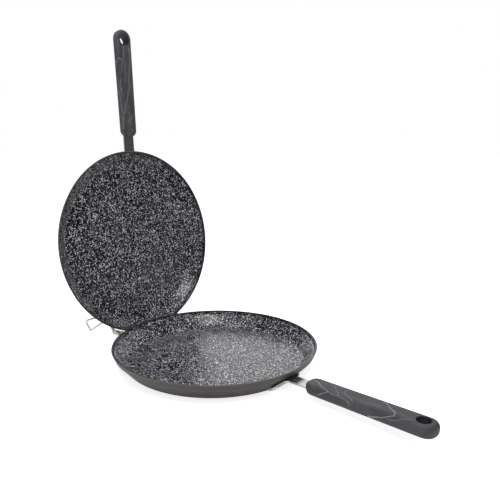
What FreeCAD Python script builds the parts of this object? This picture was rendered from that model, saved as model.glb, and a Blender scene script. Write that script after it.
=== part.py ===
import FreeCAD, Part
import math
import os
from FreeCAD import Vector

# A double sided flip pan in millimetres: two alike shallow pans face each other rim to rim
# and turn about one hinge axis at the back. The lower pan stands on its base and the upper
# one is open, leaning on a wire stand. The hinge axis dips a little towards +Y, as the open
# pan's lean shows, and both pans still close square. The origin is the middle of the lower
# base, +Z is up and +X points along the lower handle.

# Pan shell, drawn as the lower pan
RIM_RADIUS = 131.0
PAN_HEIGHT = 23.7
RIM_WIDTH = 2.6
RIM_ROUND = 0.6
BAND_HEIGHT = 7.4
BAND_TAPER = 3.4
BAND_STEP = 1.0
STEP_DROP = 0.6
WALL_SPREAD = 13.4
BASE_ROUND = 3.0
WALL = 3.4
LIP_DEPTH = 4.5
FLOOR_THICK = 3.2
FLOOR_ROUND = 9.0
RIM_GAP = 0.4

# Bonded steel disc under each base
DISC_RADIUS = 98.0
DISC_THICK = 0.8
DISC_GROOVES = 5
GROOVE_WIDTH = 1.6
GROOVE_DEPTH = 0.35
DISC_EDGE_MARGIN = 9.0

# Handle bracket: a flat strap whose two wings lie on the pan wall
STRAP_WIDTH = 16.4
STRAP_THICK = 2.0
STRAP_DROP = 10.6
HANDLE_RISE_DEG = 1.0
SHOULDER_WIDTH = 25.0
SHOULDER_LENGTH = 0.8
NECK_TAPER = 3.2
TANG_LENGTH = 52.0
TANG_ROUND = 3.0
WING_THICK = 2.2
WING_REACH = 24.6
WING_TOP_DROP = 8.4
WING_SHOULDER = 13.0
WING_END_TOP_DROP = 16.0
WING_END_LOW_DROP = 22.0
WING_LOW_INNER = 5.0
WING_INNER_LOW_DROP = 18.0
WING_ROUND = 2.4
WING_RIVET_OUT = 19.2
WING_RIVET_DROP = 17.4
SEAT = 0.05

# Grip
GRIP_STANDOFF = 21.2
GRIP_LENGTH = 150.4
GRIP_WIDTH = 23.2
GRIP_TIP_WIDTH = 25.2
GRIP_THICK = 15.0
GRIP_OUTER_ROUND = 7.8
GRIP_MATING_ROUND = 4.4
GRIP_START_ROUND = 9.0
HANG_HOLE_RADIUS = 7.5
HANG_HOLE_TO_TIP = 14.8
HANG_HOLE_ROUND = 0.4
TANG_CLEARANCE = 0.1

# Grip screw, driven from the outer side into a nut on the strap
SCREW_INSET = 22.0
SCREW_RADIUS = 1.95
SCREW_HEAD_RADIUS = 3.6
SCREW_HEAD_HEIGHT = 2.4
SCREW_HEAD_RECESS = 2.2
SCREW_SOCKET_RADIUS = 1.3
SCREW_SOCKET_DEPTH = 1.5
SCREW_HOLE_CLEARANCE = 0.1
NUT_WIDTH = 7.0
NUT_HEIGHT = 3.2
NUT_CLEARANCE = 0.15

# Hinge: the pins are the bent-in ends of the wire stand
HINGE_INSET = 2.3
HINGE_DROP = 15.9
AXIS_DIP_DEG = 2.5
OPEN_DEG = 98.3
PIN_CLEARANCE = 0.06
EYE_RADIUS = 4.5
LUG_THICK = 2.2
LUG_GAP = 0.5
FOOT_WIDTH = 15.0
FOOT_LEDGE_GAP = 0.7
FOOT_HEIGHT = 11.5
EAR_FLANGE_GAP = 1.3
EAR_OUTER = 6.6
EAR_SHOULDER_DROP = 9.8
WASHER_RADIUS = 4.2
CLIP_RADIUS = 4.6
CLIP_THICK = 1.4

# Rivets
RIVET_RADIUS = 2.4
RIVET_HEAD_RADIUS = 4.2
RIVET_HEAD_HEIGHT = 1.7
RIVET_DEPTH = 2.4
HINGE_RIVET_RADIUS = 1.9
HINGE_RIVET_HEAD_RADIUS = 3.3
HINGE_RIVET_HEAD_HEIGHT = 1.3

# Wire stand
WIRE_RADIUS = 1.5
ARM_Y = 58.0
STAND_REST_GAP = 0.35
CREST_BACK = 39.8
FOOT_BACK = 79.8
TAIL_BACK = 94.4
TAIL_UP = 12.2
STAND_BEND = 5.0
PIN_BEND = 1.8
FIT_STEPS = 12

CUT_OVERRUN = 2.0

RIM_Z = PAN_HEIGHT
BASE_Z = DISC_THICK
WALL_TOP_Z = RIM_Z - BAND_HEIGHT - STEP_DROP
WALL_TOP_RADIUS = RIM_RADIUS - BAND_TAPER - BAND_STEP
BASE_EDGE_RADIUS = WALL_TOP_RADIUS - WALL_SPREAD
WALL_SLOPE = (WALL_TOP_RADIUS - BASE_EDGE_RADIUS) / (WALL_TOP_Z - BASE_Z)
WALL_SECANT = math.hypot(1, WALL_SLOPE)
HINGE_BACK = RIM_RADIUS - HINGE_INSET
HINGE_AXIS = Vector(-HINGE_BACK, 0, RIM_Z - HINGE_DROP)
AXIS_DIP = math.radians(AXIS_DIP_DEG)
AXIS_LINE = Vector(0, math.cos(AXIS_DIP), -math.sin(AXIS_DIP))
MIRROR_Z = RIM_Z + RIM_GAP / 2
FOOT_TOP_DROP = BAND_HEIGHT + STEP_DROP + FOOT_LEDGE_GAP
FOOT_LOW_DROP = FOOT_TOP_DROP + FOOT_HEIGHT
GRIP_START = RIM_RADIUS + GRIP_STANDOFF
STRAP_ROOT = Vector(WALL_TOP_RADIUS, 0, RIM_Z - STRAP_DROP)
EAR_OUT = ARM_Y - WIRE_RADIUS - LUG_GAP
UPPER_EAR_Y = EAR_OUT - LUG_THICK
LOWER_EAR_Y = UPPER_EAR_Y - LUG_GAP - LUG_THICK
CLIP_Y = LOWER_EAR_Y - LUG_GAP - CLIP_THICK
PIN_END_Y = CLIP_Y - LUG_GAP

os.makedirs("parts", exist_ok=True)


def wall_radius(z, offset=0):
    """Radius of the outer wall's cone at a height, moved out square to the wall."""
    return WALL_TOP_RADIUS - (WALL_TOP_Z - z) * WALL_SLOPE + offset * WALL_SECANT


def rounded_edges(points, radii):
    """Straight edges between the points with a tangent arc of the given radius at each."""
    count = len(points)
    starts, ends, arcs = [], [], []
    for i, point in enumerate(points):
        before = (points[i - 1] - point).normalize()
        after = (points[(i + 1) % count] - point).normalize()
        if radii[i] == 0:
            starts.append(point)
            ends.append(point)
            arcs.append(None)
            continue
        half = before.getAngle(after) / 2
        reach = radii[i] / math.tan(half)
        bisector = (before + after).normalize()
        middle = point + bisector * (radii[i] / math.sin(half) - radii[i])
        starts.append(point + before * reach)
        ends.append(point + after * reach)
        arcs.append(middle)
    edges = []
    for i in range(count):
        if arcs[i] is not None:
            edges.append(Part.Arc(starts[i], arcs[i], ends[i]).toShape())
        edges.append(Part.LineSegment(ends[i], starts[(i + 1) % count]).toShape())
    return edges


def plate(points, radii, thickness):
    """A flat solid whose outline has rounded corners, pushed along the thickness vector."""
    wire = Part.Wire(Part.__sortEdges__(rounded_edges(points, radii)))
    return Part.Face(wire).extrude(thickness)


def cone_shell(inner, outer, low_z, high_z):
    """The layer between two offsets of the outer wall, from one height to another."""
    height = high_z - low_z
    low = Vector(0, 0, low_z)
    big = Part.makeCone(wall_radius(low_z, outer), wall_radius(high_z, outer), height, low)
    small = Part.makeCone(wall_radius(low_z, inner), wall_radius(high_z, inner), height, low)
    return big.cut(small)


def wall_envelope(offset):
    """A cone that holds all that lies inside the outer wall, to trim plates against."""
    low_z = BASE_Z - CUT_OVERRUN
    high_z = RIM_Z
    low = Vector(0, 0, low_z)
    return Part.makeCone(wall_radius(low_z, offset), wall_radius(high_z, offset), high_z - low_z, low)


def wall_frame(angle_deg, drop):
    """A point on the outer wall and the wall's outward normal there."""
    z = RIM_Z - drop
    turn = math.radians(angle_deg)
    around = Vector(math.cos(turn), math.sin(turn), 0)
    normal = (around + Vector(0, 0, -WALL_SLOPE)).normalize()
    return around * wall_radius(z) + Vector(0, 0, z), normal


def rivet(point, normal, seat_height, radius, head_radius, head_height):
    """A domed rivet, turned about its axis: its shank ends inside the wall and its head lies
    on a plate."""
    ball = (head_radius ** 2 + head_height ** 2) / (2 * head_height)
    top_z = seat_height + head_height
    half_turn = math.asin(head_radius / ball) / 2
    corners = [
        Vector(0, 0, top_z),
        Vector(0, 0, -RIVET_DEPTH),
        Vector(radius, 0, -RIVET_DEPTH),
        Vector(radius, 0, seat_height),
        Vector(head_radius, 0, seat_height),
    ]
    dome = Vector(ball * math.sin(half_turn), 0, top_z - ball + ball * math.cos(half_turn))
    edges = [Part.LineSegment(a, b).toShape() for a, b in zip(corners, corners[1:])]
    edges.append(Part.Arc(corners[-1], dome, corners[0]).toShape())
    solid = Part.Face(Part.Wire(edges)).revolve(Vector(0, 0, 0), Vector(0, 0, 1), 360)
    solid.Placement = FreeCAD.Placement(point, FreeCAD.Rotation(Vector(0, 0, 1), normal))
    return solid


def rivet_hole(point, normal, radius):
    """The space of a rivet's shank in the wall and in the plate on it."""
    reach = RIVET_DEPTH + RIVET_HEAD_RADIUS
    return Part.makeCylinder(radius, reach, point - normal * RIVET_DEPTH, normal)


def bracket_rivet_places():
    """One rivet near the end of each wing, a set way out from the strap's middle."""
    radius = wall_radius(RIM_Z - WING_RIVET_DROP)
    angle = math.degrees(math.asin(WING_RIVET_OUT / radius))
    return [wall_frame(side * angle, WING_RIVET_DROP) for side in (-1, 1)]


def hinge_rivet_places(ear_y):
    """One rivet in the middle of each lug's foot."""
    places = []
    for side in (-1, 1):
        middle_y = ear_y - FOOT_WIDTH / 2
        drop_span = FOOT_LOW_DROP - FOOT_TOP_DROP
        drop = FOOT_TOP_DROP + drop_span / 2
        radius = wall_radius(RIM_Z - drop)
        angle = 180 - math.degrees(math.asin(middle_y / radius))
        places.append(wall_frame(side * angle, drop))
    return places


def pan_shell(ear_y):
    """Revolved shell: band, step, sloped wall, flat base, floor, sloped inner wall and lip."""
    outer_points = [
        Vector(0, 0, BASE_Z),
        Vector(BASE_EDGE_RADIUS, 0, BASE_Z),
        Vector(WALL_TOP_RADIUS, 0, WALL_TOP_Z),
        Vector(RIM_RADIUS - BAND_TAPER, 0, RIM_Z - BAND_HEIGHT),
        Vector(RIM_RADIUS, 0, RIM_Z),
    ]
    inner_radius = RIM_RADIUS - RIM_WIDTH
    ledge_z = RIM_Z - LIP_DEPTH
    floor_z = BASE_Z + FLOOR_THICK
    lip_taper = BAND_TAPER * LIP_DEPTH / BAND_HEIGHT
    inner_points = [
        Vector(inner_radius, 0, RIM_Z),
        Vector(inner_radius - lip_taper, 0, ledge_z),
        Vector(wall_radius(ledge_z, -WALL), 0, ledge_z),
        Vector(wall_radius(floor_z, -WALL), 0, floor_z),
        Vector(0, 0, floor_z),
    ]
    radii = [0, BASE_ROUND, 0, 0, RIM_ROUND, RIM_ROUND, 0, 0, FLOOR_ROUND, 0]
    wire = Part.Wire(Part.__sortEdges__(rounded_edges(outer_points + inner_points, radii)))
    shell = Part.Face(wire).revolve(Vector(0, 0, 0), Vector(0, 0, 1), 360)
    for point, normal in bracket_rivet_places():
        shell = shell.cut(rivet_hole(point, normal, RIVET_RADIUS))
    for point, normal in hinge_rivet_places(ear_y):
        shell = shell.cut(rivet_hole(point, normal, HINGE_RIVET_RADIUS))
    return shell


def base_disc():
    """Thin steel disc with shallow rings turned into its outer face."""
    disc = Part.makeCylinder(DISC_RADIUS, DISC_THICK)
    pitch = (DISC_RADIUS - DISC_EDGE_MARGIN) / DISC_GROOVES
    for ring in range(1, DISC_GROOVES + 1):
        outer = Part.makeCylinder(ring * pitch + GROOVE_WIDTH / 2, GROOVE_DEPTH)
        inner = Part.makeCylinder(ring * pitch - GROOVE_WIDTH / 2, GROOVE_DEPTH)
        disc = disc.cut(outer.cut(inner))
    return disc


def rise(shape):
    """Tilt what belongs to the handle up by its small angle about the strap's root."""
    tilted = shape.copy()
    tilted.rotate(STRAP_ROOT, Vector(0, 1, 0), -HANDLE_RISE_DEG)
    return tilted


def strap_blank(grow):
    """The flat strap from the wall to the end of its tang, level, grown for clearance."""
    half = STRAP_WIDTH / 2 + grow
    half_thick = STRAP_THICK / 2 + grow
    low_z = STRAP_ROOT.z - half_thick
    end_x = GRIP_START + TANG_LENGTH + grow
    points = [
        Vector(BASE_EDGE_RADIUS, -half, low_z),
        Vector(end_x, -half, low_z),
        Vector(end_x, half, low_z),
        Vector(BASE_EDGE_RADIUS, half, low_z),
    ]
    return plate(points, [0, TANG_ROUND, TANG_ROUND, 0], Vector(0, 0, 2 * half_thick))


def screw_axis_x():
    return GRIP_START + SCREW_INSET


def handle_bracket():
    """Strap, shoulders that spread to the wall, and two wings that droop round it."""
    low_z = STRAP_ROOT.z - STRAP_THICK / 2
    shoulder_x = STRAP_ROOT.x + SHOULDER_LENGTH
    points = [
        Vector(BASE_EDGE_RADIUS, -SHOULDER_WIDTH / 2, low_z),
        Vector(shoulder_x, -SHOULDER_WIDTH / 2, low_z),
        Vector(shoulder_x + NECK_TAPER, -STRAP_WIDTH / 2, low_z),
        Vector(shoulder_x + NECK_TAPER, STRAP_WIDTH / 2, low_z),
        Vector(shoulder_x, SHOULDER_WIDTH / 2, low_z),
        Vector(BASE_EDGE_RADIUS, SHOULDER_WIDTH / 2, low_z),
    ]
    corner = SHOULDER_LENGTH / 2
    shoulders = plate(points, [0, corner, 0, 0, corner, 0], Vector(0, 0, STRAP_THICK))
    strap = strap_blank(0).fuse(shoulders)
    hole = Part.makeCylinder(
        SCREW_RADIUS + SCREW_HOLE_CLEARANCE, STRAP_THICK, Vector(screw_axis_x(), 0, low_z)
    )
    strap = rise(strap.cut(hole))
    strap = strap.cut(wall_envelope(SEAT))
    layer = cone_shell(SEAT, SEAT + WING_THICK, BASE_Z, WALL_TOP_Z)
    ends = [
        (WING_SHOULDER, WING_TOP_DROP),
        (WING_REACH, WING_END_TOP_DROP),
        (WING_REACH, WING_END_LOW_DROP),
        (WING_SHOULDER, WING_END_LOW_DROP),
        (WING_LOW_INNER, WING_INNER_LOW_DROP),
    ]
    right = [Vector(0, y, RIM_Z - drop) for y, drop in ends]
    left = [Vector(0, -y, RIM_Z - drop) for y, drop in reversed(ends)]
    radii = [WING_ROUND] * len(ends) + [WING_ROUND] * len(ends)
    wings = plate(right + left, radii, Vector(RIM_RADIUS + WING_THICK, 0, 0))
    bracket = strap.fuse(layer.common(wings)).removeSplitter()
    for point, normal in bracket_rivet_places():
        bracket = bracket.cut(rivet_hole(point, normal, RIVET_RADIUS))
    return bracket


def bracket_rivets():
    seat = SEAT + WING_THICK
    return Part.makeCompound(
        [
            rivet(point, normal, seat, RIVET_RADIUS, RIVET_HEAD_RADIUS, RIVET_HEAD_HEIGHT)
            for point, normal in bracket_rivet_places()
        ]
    )


def grip_low_z():
    return STRAP_ROOT.z - GRIP_THICK / 2


def hang_hole_x():
    return GRIP_START + GRIP_LENGTH - HANG_HOLE_TO_TIP


def grip_outline(low_z):
    """Straight sides that widen to a half round tip, with rounded corners at the pan's end."""
    tip_x = GRIP_START + GRIP_LENGTH
    half_start = GRIP_WIDTH / 2
    half_tip = GRIP_TIP_WIDTH / 2
    shoulder = tip_x - half_tip
    corner_x = GRIP_START + GRIP_START_ROUND
    corner_y = half_start - GRIP_START_ROUND
    arc_reach = GRIP_START_ROUND * math.sqrt(1 / 2)
    side = [
        Part.LineSegment(Vector(shoulder, half_tip, low_z), Vector(corner_x, half_start, low_z)),
        Part.Arc(
            Vector(corner_x, half_start, low_z),
            Vector(corner_x - arc_reach, corner_y + arc_reach, low_z),
            Vector(GRIP_START, corner_y, low_z),
        ),
    ]
    side = [curve.toShape() for curve in side]
    other = [edge.mirror(Vector(0, 0, 0), Vector(0, 1, 0)) for edge in side]
    ends = [
        Part.LineSegment(Vector(GRIP_START, corner_y, low_z), Vector(GRIP_START, -corner_y, low_z)),
        Part.Arc(
            Vector(shoulder, -half_tip, low_z),
            Vector(tip_x, 0, low_z),
            Vector(shoulder, half_tip, low_z),
        ),
    ]
    return Part.Wire(Part.__sortEdges__(side + other + [curve.toShape() for curve in ends]))


def grip_body():
    """The bar of that outline: well rounded outside and flatter where the grips meet."""
    low_z = grip_low_z()
    top_z = low_z + GRIP_THICK
    bar = Part.Face(grip_outline(low_z)).extrude(Vector(0, 0, GRIP_THICK))
    lower_edges = [e for e in bar.Edges if abs(e.BoundBox.ZMax - low_z) < SEAT]
    bar = bar.makeFillet(GRIP_OUTER_ROUND, lower_edges)
    upper_edges = [e for e in bar.Edges if abs(e.BoundBox.ZMin - top_z) < SEAT]
    return bar.makeFillet(GRIP_MATING_ROUND, upper_edges)


def grip():
    """The bar with its hanging hole, its slot for the strap and the screw's stepped hole."""
    low_z = grip_low_z()
    top_z = low_z + GRIP_THICK
    body = grip_body()
    body = body.cut(
        Part.makeCylinder(HANG_HOLE_RADIUS, GRIP_THICK, Vector(hang_hole_x(), 0, low_z))
    )
    rims = [
        e
        for e in body.Edges
        if isinstance(e.Curve, Part.Circle)
        and abs(e.Curve.Radius - HANG_HOLE_RADIUS) < SEAT
        and abs(e.BoundBox.ZMin - top_z) < SEAT
    ]
    body = body.makeFillet(HANG_HOLE_ROUND, rims)
    body = body.cut(strap_blank(TANG_CLEARANCE))
    x = screw_axis_x()
    shank = Part.makeCylinder(
        SCREW_RADIUS + SCREW_HOLE_CLEARANCE, GRIP_THICK / 2, Vector(x, 0, low_z)
    )
    head = Part.makeCylinder(
        SCREW_HEAD_RADIUS + SCREW_HOLE_CLEARANCE,
        SCREW_HEAD_RECESS + SCREW_HEAD_HEIGHT,
        Vector(x, 0, low_z),
    )
    nut_room = nut_block(NUT_CLEARANCE)
    return rise(body.cut(shank).cut(head).cut(nut_room))


def nut_block(grow):
    """The square nut's block on the strap's upper face, level."""
    width = NUT_WIDTH + 2 * grow
    low_z = STRAP_ROOT.z + STRAP_THICK / 2
    corner = Vector(screw_axis_x() - width / 2, -width / 2, low_z)
    return Part.makeBox(width, width, NUT_HEIGHT + grow, corner)


def grip_nut():
    low_z = STRAP_ROOT.z + STRAP_THICK / 2
    bore = Part.makeCylinder(SCREW_RADIUS, NUT_HEIGHT, Vector(screw_axis_x(), 0, low_z))
    return rise(nut_block(0).cut(bore))


def grip_screw():
    """Pan head screw that sits in its recess and ends level with the nut's top."""
    x = screw_axis_x()
    head_z = grip_low_z() + SCREW_HEAD_RECESS
    end_z = STRAP_ROOT.z + STRAP_THICK / 2 + NUT_HEIGHT
    head = Part.makeCylinder(SCREW_HEAD_RADIUS, SCREW_HEAD_HEIGHT, Vector(x, 0, head_z))
    shank_z = head_z + SCREW_HEAD_HEIGHT
    shank = Part.makeCylinder(SCREW_RADIUS, end_z - shank_z, Vector(x, 0, shank_z))
    socket = Part.makeCylinder(SCREW_SOCKET_RADIUS, SCREW_SOCKET_DEPTH, Vector(x, 0, head_z))
    return rise(head.fuse(shank).cut(socket))


def turned_over(point):
    """The same place seen from the other pan, before it is turned over."""
    return Vector(point.x, point.y, 2 * MIRROR_Z - point.z)


def beside(centre, line, x, z):
    """The place at this x and z in the plane through a centre and square to the axis line."""
    return Vector(x, centre.y - (z - centre.z) * line.z / line.y, z)


def lug_foot(side, eye, line):
    """The part of a lug that lies on the wall, from its ear's outer face towards the middle."""
    layer = cone_shell(SEAT, SEAT + LUG_THICK, RIM_Z - FOOT_LOW_DROP, RIM_Z - FOOT_TOP_DROP)
    start = eye - line * FOOT_WIDTH if side > 0 else eye
    back_x = -RIM_RADIUS - CUT_OVERRUN
    corners = [(back_x, 0), (0, 0), (0, RIM_Z), (back_x, RIM_Z)]
    points = [beside(start, line, x, z) for x, z in corners]
    block = plate(points, [0] * len(points), line * (FOOT_WIDTH + LUG_THICK))
    return layer.common(block)


def lug(side, ear_y, eye, line, outline):
    """A foot on the wall, an ear square to the hinge axis, and the eye for the pin."""
    points = [beside(eye, line, x, z) for x, z in outline]
    ear = plate(points, [0] * len(points), line * LUG_THICK)
    ring = Part.makeCylinder(EYE_RADIUS, LUG_THICK, eye, line)
    bore = Part.makeCylinder(WIRE_RADIUS + PIN_CLEARANCE, LUG_THICK, eye, line)
    body = ear.fuse(ring).cut(wall_envelope(SEAT)).fuse(lug_foot(side, eye, line))
    body = body.removeSplitter().cut(bore)
    for point, normal in hinge_rivet_places(ear_y):
        if point.y * side > 0:
            body = body.cut(rivet_hole(point, normal, HINGE_RIVET_RADIUS))
    return body


def wall_x(z, y, offset=0):
    """How far behind the middle the outer wall lies at a height, beside the hinge."""
    return -math.sqrt(wall_radius(z, offset) ** 2 - y ** 2)


def axis_point(distance):
    return HINGE_AXIS + AXIS_LINE * distance


def face_distance(side, inner, thickness):
    """Where along the axis a plate of this side starts, going towards +Y."""
    return inner if side > 0 else -inner - thickness


def lower_lug(side):
    """Short ear that reaches straight back from the lower wall to the hinge axis."""
    eye = axis_point(face_distance(side, LOWER_EAR_Y, LUG_THICK))
    top_z = RIM_Z - FOOT_TOP_DROP
    low_z = RIM_Z - FOOT_LOW_DROP
    outline = [
        (wall_x(top_z, LOWER_EAR_Y, -WALL), top_z),
        (eye.x, eye.z + EYE_RADIUS),
        (eye.x, eye.z - EYE_RADIUS),
        (wall_x(low_z, LOWER_EAR_Y, LUG_THICK), low_z),
        (wall_x(low_z, LOWER_EAR_Y, -WALL), low_z),
    ]
    return lug(side, LOWER_EAR_Y, eye, AXIS_LINE, outline)


def upper_lug(side):
    """Long ear that reaches round both bands to the axis, drawn before it is turned over."""
    ear_y = UPPER_EAR_Y
    eye = turned_over(axis_point(face_distance(side, ear_y, LUG_THICK)))
    line = Vector(AXIS_LINE.x, AXIS_LINE.y, -AXIS_LINE.z)
    inner_x = -math.sqrt(RIM_RADIUS ** 2 - ear_y ** 2) - EAR_FLANGE_GAP
    outer_x = inner_x - EAR_OUTER
    turn_z = RIM_Z - BAND_HEIGHT - EAR_FLANGE_GAP
    low_z = RIM_Z - FOOT_LOW_DROP
    outline = [
        (wall_x(turn_z, ear_y, -WALL), turn_z),
        (inner_x, turn_z),
        (inner_x, eye.z),
        (eye.x - EYE_RADIUS, eye.z),
        (outer_x, RIM_Z),
        (outer_x + EAR_FLANGE_GAP, RIM_Z - EAR_SHOULDER_DROP),
        (wall_x(low_z, ear_y, LUG_THICK), low_z),
        (wall_x(low_z, ear_y, -WALL), low_z),
    ]
    return lug(side, ear_y, eye, line, outline)


def hinge_rivets(ear_y):
    seat = SEAT + LUG_THICK
    return Part.makeCompound(
        [
            rivet(
                point,
                normal,
                seat,
                HINGE_RIVET_RADIUS,
                HINGE_RIVET_HEAD_RADIUS,
                HINGE_RIVET_HEAD_HEIGHT,
            )
            for point, normal in hinge_rivet_places(ear_y)
        ]
    )


def swing(shape):
    """Turn a shape of the closed upper pan about the hinge axis until the pan is open."""
    shape.rotate(HINGE_AXIS, AXIS_LINE, -OPEN_DEG)
    return shape


def open_edge_point(radius, depth, centre):
    """Where the hinge side of one of the pan's round edges passes an arm's inner side, open."""
    closed_y = centre.y
    for step in range(FIT_STEPS):
        closed_x = -math.sqrt(radius ** 2 - closed_y ** 2)
        point = swing(Part.Vertex(closed_x, closed_y, RIM_Z + RIM_GAP + depth)).Point
        closed_y += beside(centre, AXIS_LINE, point.x, point.z).y - point.y
    return point


def arm_slope(side):
    """Slope at which an arm leaves its pin, to pass just under the open pan's edges."""
    centre = axis_point(side * (ARM_Y - WIRE_RADIUS))
    edges = [
        (RIM_RADIUS - BAND_TAPER, BAND_HEIGHT),
        (WALL_TOP_RADIUS, PAN_HEIGHT - WALL_TOP_Z),
        (BASE_EDGE_RADIUS, PAN_HEIGHT - BASE_Z),
    ]
    slopes = []
    for radius, depth in edges:
        reach = open_edge_point(radius, depth, centre) - centre
        clear = math.asin((WIRE_RADIUS + STAND_REST_GAP) / math.hypot(reach.x, reach.z))
        slopes.append(math.atan2(reach.z, -reach.x) - clear)
    return min(slopes)


def arm_route(side):
    """Points of one arm, from its pin to its tail: the open pan rests on its first run."""
    pin = axis_point(side * ARM_Y)
    places = [
        (CREST_BACK, pin.z + CREST_BACK * math.tan(arm_slope(side))),
        (FOOT_BACK, WIRE_RADIUS),
        (TAIL_BACK, TAIL_UP),
    ]
    crest, foot, tail = [beside(pin, AXIS_LINE, pin.x - back, z) for back, z in places]
    for step in range(FIT_STEPS):
        foot.z = WIRE_RADIUS - bend_lift(crest, foot, tail)
    return [axis_point(side * PIN_END_Y), pin, crest, foot, tail]


def wire_path(points, radii):
    """Straight runs joined by tangent arcs, open at both ends."""
    edges = []
    last = points[0]
    for i in range(1, len(points) - 1):
        point = points[i]
        before = (points[i - 1] - point).normalize()
        after = (points[i + 1] - point).normalize()
        half = before.getAngle(after) / 2
        reach = radii[i - 1] / math.tan(half)
        bisector = (before + after).normalize()
        middle = point + bisector * (radii[i - 1] / math.sin(half) - radii[i - 1])
        edges.append(Part.LineSegment(last, point + before * reach).toShape())
        last = point + after * reach
        edges.append(Part.Arc(point + before * reach, middle, last).toShape())
    edges.append(Part.LineSegment(last, points[-1]).toShape())
    return Part.Wire(edges)


def bend_lift(crest, foot, tail):
    """How far the lowest point of the foot's bend lies above the foot's own corner."""
    before = (crest - foot).normalize()
    after = (tail - foot).normalize()
    half = before.getAngle(after) / 2
    bisector = (before + after).normalize()
    return bisector.z * STAND_BEND / math.sin(half) - STAND_BEND


def wire_stand():
    """One bent wire: pin, arm over the crest, foot, tail, crossbar, and the same back."""
    left = arm_route(1)
    right = arm_route(-1)
    bends = [PIN_BEND] + [STAND_BEND] * (len(left) - 2)
    path = wire_path(left + right[::-1], bends + bends[::-1])
    profile = Part.makeCircle(WIRE_RADIUS, left[0], AXIS_LINE)
    return path.makePipeShell([Part.Wire(profile)], True, False, 2)


def rings(radius, thickness, inner):
    """A ring on each pin, at one place along it on both sides."""
    solids = []
    for side in (-1, 1):
        base = axis_point(face_distance(side, inner, thickness))
        blank = Part.makeCylinder(radius, thickness, base, AXIS_LINE)
        bore = Part.makeCylinder(WIRE_RADIUS, thickness, base, AXIS_LINE)
        solids.append(blank.cut(bore))
    return Part.makeCompound(solids)


def upper(shape):
    """Turn a lower piece over about the plane between the rims, then swing it open."""
    return swing(shape.mirror(Vector(0, 0, MIRROR_Z), Vector(0, 0, 1)))


def write(name, shape):
    shape.exportStep("parts/" + name + ".step")
    print(name, len(shape.Solids), "solids", shape.isValid(), round(shape.Volume), "mm3")


pieces = {
    "pan": lambda ear_y: pan_shell(ear_y),
    "base_disc": lambda ear_y: base_disc(),
    "handle_bracket": lambda ear_y: handle_bracket(),
    "bracket_rivets": lambda ear_y: bracket_rivets(),
    "grip": lambda ear_y: grip(),
    "grip_screw": lambda ear_y: grip_screw(),
    "grip_nut": lambda ear_y: grip_nut(),
    "hinge_rivets": lambda ear_y: hinge_rivets(ear_y),
}
for name, make in pieces.items():
    write("lower_" + name, make(LOWER_EAR_Y))
    write("upper_" + name, upper(make(UPPER_EAR_Y)))
for side, word in ((1, "left"), (-1, "right")):
    write("lower_hinge_lug_" + word, lower_lug(side))
    write("upper_hinge_lug_" + word, upper(upper_lug(side)))
write("wire_stand", wire_stand())
write("hinge_washers", rings(WASHER_RADIUS, LUG_GAP, LOWER_EAR_Y + LUG_THICK))
write("pin_clips", rings(CLIP_RADIUS, CLIP_THICK, CLIP_Y))
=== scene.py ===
import math

import bpy
import numpy as np
from bpy.props import FloatProperty, FloatVectorProperty, IntProperty, PointerProperty
from mathutils import Matrix, Vector


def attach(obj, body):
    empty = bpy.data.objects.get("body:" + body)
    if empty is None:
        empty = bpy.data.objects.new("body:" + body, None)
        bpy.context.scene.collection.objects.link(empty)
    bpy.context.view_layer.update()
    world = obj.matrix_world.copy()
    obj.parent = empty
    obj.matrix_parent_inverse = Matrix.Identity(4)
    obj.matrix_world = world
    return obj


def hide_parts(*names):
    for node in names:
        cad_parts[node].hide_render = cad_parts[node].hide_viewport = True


bl_info = {
    "name": "Double sided flip pan",
    "version": (1, 0, 0),
    "blender": (4, 5, 0),
    "location": "View3D > Sidebar > Flip Pan",
    "description": "Dresses the flip pan's frame with smooth surfaces and procedural finishes",
    "category": "Object",
}

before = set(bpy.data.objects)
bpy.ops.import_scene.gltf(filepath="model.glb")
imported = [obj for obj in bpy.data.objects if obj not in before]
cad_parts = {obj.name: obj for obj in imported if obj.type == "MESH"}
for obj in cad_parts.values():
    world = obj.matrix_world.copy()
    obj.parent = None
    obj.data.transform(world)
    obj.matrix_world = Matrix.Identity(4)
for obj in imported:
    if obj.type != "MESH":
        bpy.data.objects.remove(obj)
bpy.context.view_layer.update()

MM = 0.001
HALVES = ("lower", "upper")

# How the upper half lies at rest: turned over about the plane between the rims, then swung
# open about the hinge axis. The values are those of the construction, in metres.
MIRROR_Z = 23.9 * MM
HINGE_POINT = Vector((-128.7, 0, 7.8)) * MM
AXIS_DIP = math.radians(2.5)
HINGE_LINE = Vector((0, math.cos(AXIS_DIP), -math.sin(AXIS_DIP)))
OPEN_TURN = Matrix.Rotation(math.radians(-98.3), 3, HINGE_LINE)

HANG_HOLE = Vector((287.8, 0, 0)) * MM
HANG_HOLE_RADIUS = 7.5 * MM

# The grip's mating face as a sloping plane: its tilt, and its height in millimetres where the
# plane meets the pan's axis
GRIP_FACE_TILT = math.radians(1)
GRIP_FACE_START = 18.2

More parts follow.
